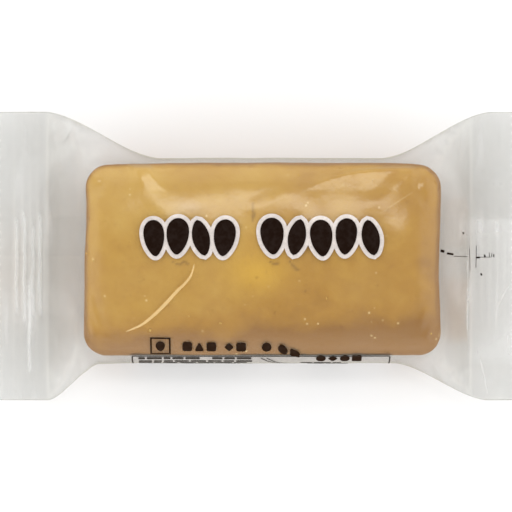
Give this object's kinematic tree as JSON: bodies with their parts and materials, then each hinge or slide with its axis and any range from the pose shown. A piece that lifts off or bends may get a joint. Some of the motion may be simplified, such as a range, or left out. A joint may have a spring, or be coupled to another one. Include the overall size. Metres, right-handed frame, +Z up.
{
  "type": "wrapped corn bread loaf",
  "caption": "Small oblong corn bread loaf sealed in a clear flow-wrap film pack with flared, crimped end seals, lying flat.",
  "frame": {"origin": "under the middle of the pack's outline, on the surface that the pack lies on", "axes": "+X along the pack from one crimped seal to the other, +Y across it towards the back edge, +Z up through the printed front"},
  "size_m": [0.149, 0.0826, 0.0296],
  "materials": {
    "crust": "soft golden baked crumb seen through clear film",
    "film": "clear, slightly hazy glossy plastic film",
    "print_dark": "near-black ink on film",
    "print_white": "white ink on film"
  },
  "bodies": {
    "root": {"wrapped_cornbread": "crust"}
  },
  "joints": []
}
